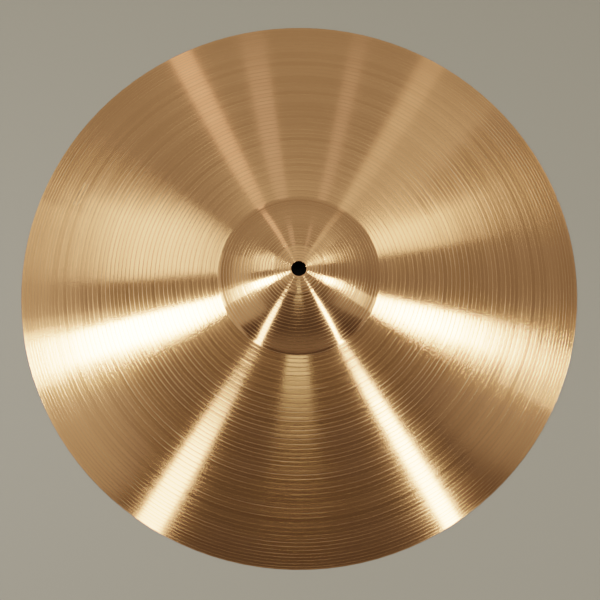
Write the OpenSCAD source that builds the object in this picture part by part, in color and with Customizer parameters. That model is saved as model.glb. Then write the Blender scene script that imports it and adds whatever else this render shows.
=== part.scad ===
// Crash cymbal: one lathed disc of sheet bronze with a pressed bell and one plain hole.
// The origin is on the hole's axis, in the plane that the rim rests on, and +Z points out of the bell.

/* [Disc] */
// Outside diameter
cymbal_d = 457; // [400:1:510]
// Diameter of the plain hole at the crown
hole_d = 12; // [10:0.5:14]

/* [Bell] */
// Diameter of the crease between the bell and the bow
bell_d = 128; // [100:1:150]
// Slope of the bell where it runs into the crease, in degrees
bell_slope = 34; // [28:0.5:42]
// Radius of the crease, on its hollow upper side
crease_r = 8; // [4:0.5:16]

/* [Bow] */
// Slope of the bow beside the bell, in degrees
bow_slope = 7; // [3:0.25:8]
// Slope of the bow at the rim, in degrees
rim_slope = 12.75; // [10:0.25:16]

/* [Sheet] */
// Thickness of the bell and the crease
bell_t = 1.2; // [0.8:0.05:2]
// Thickness at the rim, which is rounded to a half circle
rim_t = 0.8; // [0.6:0.05:1.4]

/* [Hidden] */

// How far a straight step of the section may stray from its arc.
arc_error = 0.02;
// Sides of the revolved sheet.
turn_fn = 180;

// The section lies in [radius, height]. A direction is a slope's normal: 0 is up and 90 is outward.
function normal(slope) = [sin(slope), cos(slope)];

// The points of an arc between two directions from its centre.
function arc(centre, radius, from, to) =
    let (steps = ceil(abs(to - from) / (2 * acos(1 - arc_error / radius))))
    [for (i = [0 : steps]) centre + radius * normal(from + (to - from) * i / steps)];

// The crease's middle lies on bell_d, and the bell's arc, centred on the axis, is tangent to it.
crease_slope = (bell_slope + bow_slope) / 2;
bell_r = (bell_d / 2 + crease_r * sin(crease_slope)) / sin(bell_slope) - crease_r;

// The bow's upper arc runs from the end of the crease to the top of the rim's half circle.
rim_r = rim_t / 2;
rim_c = [cymbal_d / 2 - rim_r, rim_r];
rim_top = rim_c + normal(rim_slope) * rim_r;
crease_c_r = (bell_r + crease_r) * sin(bell_slope);
bow_run = rim_top[0] - (crease_c_r - crease_r * sin(bow_slope));
bow_r = bow_run / (sin(rim_slope) - sin(bow_slope));
bow_c = rim_top - normal(rim_slope) * bow_r;

// Each arc's centre lies on the normal that it shares with its neighbour.
crease_c = bow_c + normal(bow_slope) * (bow_r + crease_r);
bell_c = crease_c - normal(bell_slope) * (bell_r + crease_r);

// The bow's lower arc starts tangent to the crease, a bell's thickness down, and ends under the rim.
under_start = crease_c - normal(bow_slope) * (crease_r + bell_t);
under_chord = rim_c - normal(rim_slope) * rim_r - under_start;
under_r = -under_chord * under_chord / (2 * under_chord * normal(bow_slope));
under_c = under_start - normal(bow_slope) * under_r;
under_end_slope = bow_slope + 2 * (atan2(-under_chord[1], under_chord[0]) - bow_slope);

// Where the hole's wall meets the bell's upper and lower arcs.
hole_r = hole_d / 2;
inner_bell_r = bell_r - bell_t;
hole_top_slope = asin(hole_r / bell_r);
hole_bottom_slope = asin(hole_r / inner_bell_r);

upper_side = concat(
    arc(bell_c, bell_r, hole_top_slope, bell_slope),
    arc(crease_c, crease_r, bell_slope + 180, bow_slope + 180),
    arc(bow_c, bow_r, bow_slope, rim_slope)
);
// The rim's arc has a point where it is widest and one where it rests.
rim_edge = concat(
    arc(rim_c, rim_r, rim_slope, 90),
    arc(rim_c, rim_r, 90, 180),
    arc(rim_c, rim_r, 180, rim_slope + 180)
);
lower_side = concat(
    arc(under_c, under_r, under_end_slope, bow_slope),
    arc(crease_c, crease_r + bell_t, bow_slope + 180, bell_slope + 180),
    arc(bell_c, inner_bell_r, bell_slope, hole_bottom_slope)
);

// The whole cymbal is one sheet: bell, crease, bow and rim run into each other.
module cymbal() {
    color("#B08D57")
    rotate_extrude($fn = turn_fn) polygon(concat(upper_side, rim_edge, lower_side));
}

cymbal();
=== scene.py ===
"""A crash cymbal: one lathed sheet of bronze, lying bell up on a pale floor under studio lights."""

import math
import random

import bpy
import numpy as np
from mathutils import Matrix, Vector


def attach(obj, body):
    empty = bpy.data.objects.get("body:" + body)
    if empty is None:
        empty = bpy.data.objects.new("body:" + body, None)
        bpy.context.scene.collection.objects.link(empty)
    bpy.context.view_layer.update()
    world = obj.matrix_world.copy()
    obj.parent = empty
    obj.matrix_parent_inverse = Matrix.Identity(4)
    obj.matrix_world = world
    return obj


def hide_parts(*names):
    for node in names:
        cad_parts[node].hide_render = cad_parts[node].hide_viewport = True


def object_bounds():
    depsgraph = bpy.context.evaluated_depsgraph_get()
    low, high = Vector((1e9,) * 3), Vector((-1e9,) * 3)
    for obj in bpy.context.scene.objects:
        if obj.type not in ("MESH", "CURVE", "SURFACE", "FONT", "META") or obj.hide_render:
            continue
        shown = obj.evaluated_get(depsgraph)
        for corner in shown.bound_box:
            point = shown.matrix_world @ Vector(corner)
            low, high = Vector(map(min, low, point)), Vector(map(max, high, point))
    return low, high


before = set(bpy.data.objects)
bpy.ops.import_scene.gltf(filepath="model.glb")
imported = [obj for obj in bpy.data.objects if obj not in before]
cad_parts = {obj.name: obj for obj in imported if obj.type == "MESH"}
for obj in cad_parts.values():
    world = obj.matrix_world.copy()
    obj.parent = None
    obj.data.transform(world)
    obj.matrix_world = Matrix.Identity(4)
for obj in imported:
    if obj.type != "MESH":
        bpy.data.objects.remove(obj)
cad_low, cad_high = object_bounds()

MM = 0.001

# The sheet's own sizes, read from the frame.
CAD_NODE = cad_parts["cymbal"]
RIM_RADIUS = cad_high.x
RIM_ROUND = 0.4 * MM
HOLE_RADIUS = min(v.co.xy.length for v in CAD_NODE.data.vertices)
EDGE_BREAK = 0.15 * MM

# How close to y = 0 a corner of the section lies, and the least turn of a real corner, in square mm.
ON_SECTION = 0.001 * MM
HARDLY_TURNS = 0.02

# Lathe cuts, in millimetres: the pitch and the depth of a cut at several radii.
PITCH = ((6, 62, 66, 150, 185, 200, 228), (2.3, 2.4, 3.3, 3.5, 3.6, 2.9, 2.3))
DEPTH = ((6, 35, 50, 66, 150, 185, 228), (0.08, 0.06, 0.04, 0.03, 0.04, 0.03, 0.03))
# How much a land leans at several radii, and the share of the pitch that is land.
LEAN = ((6, 35, 62, 66, 228), (0.03, 0.02, 0.01, 0.004, 0.004))
LAND = 0.72
# How rough the bottom of a cut is at several radii, as a factor.
BITE = ((6, 60, 66, 100, 130, 190, 228), (1.15, 1.2, 0.8, 0.95, 1.05, 0.88, 1.1))
# Across one pitch: the share of it passed, and the share of the cut's depth reached there.
UPPER_CUT = ((0, 0), (0.05, 0), (0.38, 0), (0.7, 0), (0.75, 0.08), (0.81, 0.55), (0.87, 1), (0.94, 0.5))
UNDER_CUT = ((0, 0), (0.7, 0), (0.85, 1))
RING_SEED = 18

# The mesh round the axis: evenly spaced spokes, and the angles in degrees of the rim's round.
SPOKES = 110
RIM_ANGLES = (70, 45, 20, 0, -20, -45, -70)

# Wear: short rubbed marks along a turn, by azimuth in degrees, radius and length in millimetres, and how
# rough they are against a cut; then one small dent in the rim, by azimuth, half its length and depth.
RUB_WIDTH = 1.6
RUBS = (
    (-104.5, 15.5, 4.0, 3.5),
    (-106.5, 18.0, 6.0, 3.5),
    (158.5, 198.0, 10.0, 9.0),
    (156.5, 195.0, 6.0, 7.0),
    (162.5, 191.0, 6.0, 7.0),
)
DENT = (17.6, 2.5, 0.8)

# Azimuths of all the spokes, with five more across the dent and one more by the marks near the rim.
DENT_SPOKES = [DENT[0] + step for step in (-0.7, -0.25, 0, 0.25, 0.7)]
RUB_SPOKE = 160.3
ANGLES = np.radians(np.sort(np.append(np.arange(SPOKES) * 360 / SPOKES, DENT_SPOKES + [RUB_SPOKE])))
SEGMENTS = len(ANGLES)

# Lights, all at one distance from the cymbal's middle, in metres: azimuth, elevation and roll in degrees,
# width and height in metres, watts.
LAMP_DISTANCE = 1.5
LIGHTS = {
    "right": (9, 64.5, -13, 0.12, 0.30, 6.0),
    "left": (172.5, 61, 17, 0.12, 0.46, 12.0),
    "front_right": (-49, 50, -9, 0.065, 1.3, 7.0),
    "front_left": (-129.5, 37, 7, 0.11, 1.75, 7.0),
    "back_right": (48, 60, 48, 0.50, 0.18, 0.9),
    "back_right_wide": (60, 55, 0, 0.32, 1.0, 0.36),
    "back_left": (143, 55, -48, 0.40, 0.36, 1.4),
    "left_back_low": (162, 38, 0, 0.60, 0.45, 0.4),
    "left_under": (182, 38, 11, 0.24, 0.50, 1.4),
    "right_under": (-8, 38, -11, 0.26, 0.50, 0.65),
    "left_low": (193, 34, 0, 0.85, 1.3, 1.5),
    "right_low": (-15, 38, 0, 0.5, 1.2, 0.45),
    "back_mid": (98, 72, -16, 0.62, 0.85, 0.75),
    "strip_right": (65.5, 34, -5, 0.10, 1.2, 0.10),
    "strip_back_right": (79, 47, 0, 0.06, 0.6, 0.035),
    "strip_back": (97.5, 46, 0, 0.09, 0.5, 0.06),
    "strip_back_left": (110.5, 34, 5, 0.09, 1.2, 0.31),
    "overhead": (-95, 83.5, 0, 0.13, 0.15, 0.18),
    "front_low": (-90, 35, 0, 2.2, 0.5, 0.5),
}

# Tints of the lights that aren't white.
WHITE = (1.0, 1.0, 1.0)
TINTS = {
    "strip_right": (1.0, 0.85, 0.85),
    "strip_back_right": (1.0, 0.85, 1.0),
    "strip_back": (1.0, 0.85, 1.0),
    "strip_back_left": (1.0, 0.75, 0.8),
    "back_right": (1.0, 0.95, 0.9),
    "overhead": (0.9, 1.0, 0.95),
}

# The room's glow: its strength, how much brighter it is behind, and its least share in front.
GLOW = 0.245
BEHIND = 1.2
LEAST_FRONT = 0.3

# Colours: the lands between dull and bright, the bottom of a cut, the tarnish of a deep mark, the floor.
DULL_LAND = (0.78, 0.365, 0.147, 1.0)
BRIGHT_LAND = (0.86, 0.405, 0.165, 1.0)
CUT_COLOUR = (0.66, 0.32, 0.13, 1.0)
TARNISH = (0.30, 0.15, 0.07, 1.0)
FLOOR_COLOUR = (0.195, 0.172, 0.122, 1.0)

# The camera, in metres and degrees.
CAMERA_PLACE = (0.0, -0.190, 0.803)
CAMERA_TARGET = (0.0006, -0.0143, 0.0)
CAMERA_ROLL = -0.5


def section_corners(node, side):
    """Radius and height of the CAD section's corners, on its upper (1) or under (-1) side.

    Corners where the outline hardly turns are left out.
    """
    found = {}
    for face in node.data.polygons:
        if face.normal.z * side > 0:
            for index in face.vertices:
                corner = node.data.vertices[index].co
                if abs(corner.y) < ON_SECTION and 0 < corner.x < RIM_RADIUS - 2 * RIM_ROUND:
                    found[round(corner.x / MM, 4)] = corner.z / MM
    points = np.array(sorted(found.items()))
    bend = np.append(np.append(1.0, turning(points)), 1.0)
    return points[np.abs(bend) > HARDLY_TURNS]


def turning(points):
    """How far the outline turns at each inner point: positive where it is hollow."""
    step = np.diff(points, axis=0)
    return step[:-1, 0] * step[1:, 1] - step[:-1, 1] * step[1:, 0]


def circle(points):
    """Centre radius, centre height and radius of the circle through the first, middle and last point."""
    first, middle, last = points[0], points[len(points) // 2], points[-1]
    sides = 2 * np.array([middle - first, last - first])
    centre = np.linalg.solve(sides, [middle @ middle - first @ first, last @ last - first @ first])
    return centre[0], centre[1], np.linalg.norm(first - centre)


class Face:
    """One side of the sheet as the three arcs it is designed from: bell, crease and bow."""

    def __init__(self, side):
        corners = section_corners(CAD_NODE, side)
        hollow = np.flatnonzero(turning(corners) > 0) + 1
        start, end = hollow[0], hollow[-1]
        self.breaks = corners[start][0], corners[end][0]
        self.arcs = [circle(corners[: start + 1]), circle(corners[start : end + 1]), circle(corners[end:])]

    def at(self, radius):
        """Height and downhill slope, as an angle, at a radius in millimetres."""
        part = (radius > self.breaks[0]).astype(int) + (radius > self.breaks[1])
        centre, level, size = np.array(self.arcs)[part].T
        up = np.where(part == 1, -1, 1)
        slope = up * np.arcsin((radius - centre) / size)
        return level + up * size * np.cos(slope), slope


def lathe_cuts(first, last, cut, draw):
    """One side's rings as rows of radius, depth, share of a cut, and the turn's own polish, in mm.

    Each turn of the lathe leaves a nearly flat land that leans a little, then one narrow cut.
    """
    rows = []
    edge = first
    while edge < last:
        pitch = np.interp(edge, *PITCH) * draw.uniform(0.88, 1.12)
        depth = np.interp(edge, *DEPTH) * draw.uniform(0.7, 1.3)
        lean = draw.gauss(0, np.interp(edge, *LEAN)) * pitch
        bite, polish = np.interp(edge, *BITE), draw.random()
        if last - edge - pitch < pitch / 2:
            pitch = last - edge
        for t, share in cut:
            sunk = share * depth + lean * min(t / LAND, (1 - t) / (1 - LAND))
            rows.append((edge + t * pitch, sunk, share * bite, polish))
        edge += pitch
    rows.append((last, 0, 0, 0.5))
    return np.array(rows)


def sheet_rings():
    """Rows of radius, height, share of a cut and polish, all round the sheet's section."""
    draw = random.Random(RING_SEED)
    rim_centre, hole = (RIM_RADIUS - RIM_ROUND) / MM, HOLE_RADIUS / MM
    edge_break, rim_round = EDGE_BREAK / MM, RIM_ROUND / MM
    sides = []
    for side, cut in ((1, UPPER_CUT), (-1, UNDER_CUT)):
        radius, depth, share, polish = lathe_cuts(hole + edge_break, rim_centre, cut, draw).T
        height, slope = Face(side).at(radius)
        sides.append(np.column_stack([radius - side * depth * np.sin(slope),
                                      height - side * depth * np.cos(slope), share, polish]))
    upper, under = sides[0], sides[1][::-1]
    rim = [(rim_centre + rim_round * math.cos(a), rim_round + rim_round * math.sin(a), 0, 0.5)
           for a in map(math.radians, RIM_ANGLES)]
    top, bottom = upper[0, 1] - edge_break, under[-1, 1] + edge_break
    wall = [(hole, height, 0, 0.5) for height in (bottom, (bottom + top) / 2, top)]
    return np.vstack([upper, rim, under, wall]) * (MM, MM, 1, 1)


def wear(points, cut):
    """Push the rim's dent into the lathed points, and give each point's cut with the rubbed marks added.

    A mark's value is how rough it is against a cut. From 4 upward the bronze is tarnished as well. The dent
    starts a millimetre inside the rim and is deepest at it.
    """
    radius = np.hypot(points[..., 0], points[..., 1]) / MM
    azimuth = np.degrees(np.arctan2(points[..., 1], points[..., 0]))
    worn = np.repeat(cut[:, None], SEGMENTS, axis=1)
    upper = np.arange(len(points)) < radius[:, 0].argmax()
    for middle, ring, length, rough in RUBS:
        along = np.radians((azimuth - middle + 180) % 360 - 180) * ring
        rubbed = (abs(along) < length / 2) & (abs(radius - ring) < RUB_WIDTH / 2) & upper[:, None]
        worn[rubbed] = rough
    middle, length, depth = DENT
    along = np.radians((azimuth - middle + 180) % 360 - 180) * radius
    edge = np.clip((radius - RIM_RADIUS / MM + 1) * np.clip(1 - abs(along) / length, 0, 1), 0, 1)
    points[..., :2] *= (1 - edge * depth / radius)[..., None]
    return worn


def lathe(name, rings):
    """A closed mesh turned from the rings of a section, which keeps their cut and polish."""
    count = len(rings)
    r, z = rings[:, 0, None], rings[:, 1, None]
    points = np.stack([r * np.cos(ANGLES), r * np.sin(ANGLES), z + 0 * ANGLES], axis=-1)
    ring, spoke = np.meshgrid(np.arange(count), np.arange(SEGMENTS), indexing="ij")
    here, beyond = ring * SEGMENTS, (ring + 1) % count * SEGMENTS
    after = (spoke + 1) % SEGMENTS
    quads = np.stack([here + spoke, beyond + spoke, beyond + after, here + after], axis=-1)
    worn = wear(points, rings[:, 2])
    mesh = bpy.data.meshes.new(name)
    mesh.from_pydata(points.reshape(-1, 3).tolist(), [], quads.reshape(-1, 4).tolist())
    mesh.polygons.foreach_set("use_smooth", [True] * len(mesh.polygons))
    for label, values in (("cut", worn.ravel()), ("polish", np.repeat(rings[:, 3], SEGMENTS))):
        layer = mesh.attributes.new(label, "FLOAT", "POINT")
        layer.data.foreach_set("value", values.astype(np.float32))
    made = bpy.data.objects.new(name, mesh)
    bpy.context.scene.collection.objects.link(made)
    return made


def math_node(tree, operation, *values):
    """A math node fed by sockets or plain numbers; gives its result."""
    made = tree.nodes.new("ShaderNodeMath")
    made.operation = operation
    for socket, value in zip(made.inputs, values):
        if isinstance(value, bpy.types.NodeSocket):
            tree.links.new(value, socket)
        else:
            socket.default_value = value
    return made.outputs[0]


class Nodes:
    """A short hand for building one material's nodes."""

    def __init__(self, name):
        self.material = bpy.data.materials.new(name)
        self.material.use_nodes = True
        self.tree = self.material.node_tree
        self.shader = self.tree.nodes["Principled BSDF"]

    def add(self, kind, settings=None, **inputs):
        made = self.tree.nodes.new(kind)
        for key, value in (settings or {}).items():
            setattr(made, key, value)
        for key, value in inputs.items():
            self.put(made.inputs[key.replace("_", " ")], value)
        return made

    def put(self, socket, value):
        if isinstance(value, bpy.types.NodeSocket):
            self.tree.links.new(value, socket)
        else:
            socket.default_value = value

    def math(self, operation, *values):
        return math_node(self.tree, operation, *values)

    def mix(self, share, first, second):
        made = self.add("ShaderNodeMix", {"data_type": "RGBA"})
        colours = [socket for socket in made.inputs if socket.type == "RGBA"]
        for socket, value in zip([made.inputs[0]] + colours, (share, first, second)):
            self.put(socket, value)
        return next(socket for socket in made.outputs if socket.type == "RGBA")

    def ramp(self, value, low, high, to_low=0.0, to_high=1.0):
        made = self.add("ShaderNodeMapRange", None,
                        From_Min=low, From_Max=high, To_Min=to_low, To_Max=to_high)
        self.put(made.inputs["Value"], value)
        return made.outputs["Result"]


def lathed_bronze():
    """Bronze brushed round the axis: polish changes from turn to turn, and cuts are rougher and darker."""
    n = Nodes("lathed_bronze")
    place = n.add("ShaderNodeTexCoord").outputs["Object"]
    parts = n.add("ShaderNodeSeparateXYZ", None, Vector=place)
    x, y = parts.outputs["X"], parts.outputs["Y"]
    radius = n.math("SQRT", n.math("ADD", n.math("MULTIPLY", x, x), n.math("MULTIPLY", y, y)))

    def ring_noise(width, wander):
        """Noise in rings about a width apart; wander is how much it changes on the way round."""
        spot = n.add("ShaderNodeCombineXYZ", None,
                     X=n.math("MULTIPLY", n.math("DIVIDE", x, radius), wander),
                     Y=n.math("MULTIPLY", n.math("DIVIDE", y, radius), wander),
                     Z=n.math("DIVIDE", radius, width))
        noise = n.add("ShaderNodeTexNoise", None, Vector=spot.outputs[0], Scale=1.0, Detail=2.0)
        return noise.outputs["Fac"]

    def kept(label):
        return n.add("ShaderNodeAttribute", {"attribute_name": label}).outputs["Fac"]

    cut, polish = kept("cut"), kept("polish")
    marks = ring_noise(0.8 * MM, 4.0)
    patches = n.add("ShaderNodeTexNoise", None, Vector=place, Scale=14.0, Detail=3.0).outputs["Fac"]

    worn = n.math("ADD", n.math("MULTIPLY", polish, 0.6), n.math("MULTIPLY", patches, 0.8))
    land = n.mix(n.ramp(worn, 0.4, 1.0), DULL_LAND, BRIGHT_LAND)
    turned = n.mix(n.math("MULTIPLY", cut, 0.7), land, CUT_COLOUR)
    n.put(n.shader.inputs["Base Color"], n.mix(n.ramp(cut, 4.0, 8.0), turned, TARNISH))

    n.put(n.shader.inputs["Metallic"], 1.0)
    smooth = n.math("ADD", n.ramp(polish, 0.0, 1.0, 0.13, 0.15), n.ramp(marks, 0.3, 0.7, -0.015, 0.015))
    n.put(n.shader.inputs["Roughness"], n.math("ADD", smooth, n.math("MULTIPLY", cut, 0.14)))
    n.put(n.shader.inputs["Anisotropic"], 1.0)
    n.put(n.shader.inputs["Anisotropic Rotation"], 0.25)
    around = n.add("ShaderNodeTangent", {"direction_type": "RADIAL", "axis": "Z"})
    n.put(n.shader.inputs["Tangent"], around.outputs["Tangent"])
    bump = n.add("ShaderNodeBump", None, Strength=0.1, Distance=0.03 * MM, Height=marks)
    n.put(n.shader.inputs["Normal"], bump.outputs["Normal"])
    return n.material


def plain_floor():
    """A large pale floor, which ends far outside the camera's view."""
    n = Nodes("pale_floor")
    n.put(n.shader.inputs["Base Color"], FLOOR_COLOUR)
    n.put(n.shader.inputs["Roughness"], 0.6)
    mesh = bpy.data.meshes.new("floor")
    half = 6.0
    corners = [(-half, -half, 0), (half, -half, 0), (half, half, 0), (-half, half, 0)]
    mesh.from_pydata(corners, [], [(0, 1, 2, 3)])
    mesh.materials.append(n.material)
    floor = bpy.data.objects.new("floor", mesh)
    bpy.context.scene.collection.objects.link(floor)


def lamp(name, azimuth, elevation, roll, width, height, watts):
    """A soft box or tube that faces the cymbal's middle."""
    a, e = math.radians(azimuth), math.radians(elevation)
    away = Vector((math.cos(a) * math.cos(e), math.sin(a) * math.cos(e), math.sin(e)))
    light = bpy.data.lights.new(name, "AREA")
    light.shape = "RECTANGLE"
    light.size, light.size_y, light.energy = width, height, watts
    light.color = TINTS.get(name, WHITE)
    made = bpy.data.objects.new(name, light)
    facing = away.to_track_quat("Z", "Y").to_matrix() @ Matrix.Rotation(math.radians(roll), 3, "Z")
    made.matrix_world = Matrix.Translation(away * LAMP_DISTANCE) @ facing.to_4x4()
    bpy.context.scene.collection.objects.link(made)


def studio():
    """Lights round the cymbal, in a room that is paler behind than in front, and black below the horizon."""
    for name, values in LIGHTS.items():
        lamp(name, *values)
    world = bpy.data.worlds.new("studio")
    bpy.context.scene.world = world
    world.use_nodes = True
    tree = world.node_tree
    place = tree.nodes.new("ShaderNodeTexCoord")
    parts = tree.nodes.new("ShaderNodeSeparateXYZ")
    tree.links.new(place.outputs["Generated"], parts.inputs[0])

    def join(operation, first, second):
        return math_node(tree, operation, first, second)

    height = join("MAXIMUM", parts.outputs["Z"], 0.0)
    top = join("POWER", join("SUBTRACT", 1.0, height), 0.15)
    low = join("POWER", height, 0.2)
    back = join("MAXIMUM", join("ADD", 1.0, join("MULTIPLY", parts.outputs["Y"], BEHIND)), LEAST_FRONT)
    glow = join("MULTIPLY", join("MULTIPLY", top, low), join("MULTIPLY", back, GLOW))
    tree.links.new(glow, tree.nodes["Background"].inputs["Strength"])
    tree.nodes["Background"].inputs["Color"].default_value = WHITE + (1.0,)


def camera():
    """Above the cymbal and a little in front of it."""
    lens = bpy.data.cameras.new("camera")
    lens.lens = 60.09
    lens.sensor_width = 36.0
    lens.clip_start, lens.clip_end = 0.01, 50.0
    made = bpy.data.objects.new("camera", lens)
    made.location = CAMERA_PLACE
    made.rotation_mode = "QUATERNION"
    target = Vector(CAMERA_TARGET)
    roll = Matrix.Rotation(math.radians(CAMERA_ROLL), 3, "Z")
    facing = (target - made.location).to_track_quat("-Z", "Y").to_matrix()
    made.rotation_quaternion = (facing @ roll).to_quaternion()
    bpy.context.scene.collection.objects.link(made)
    bpy.context.scene.camera = made


sheet = lathe("cymbal_sheet", sheet_rings())
sheet.data.materials.append(lathed_bronze())
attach(sheet, "root")
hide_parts("cymbal")
plain_floor()
studio()
camera()
bpy.context.scene.view_settings.view_transform = "Filmic"
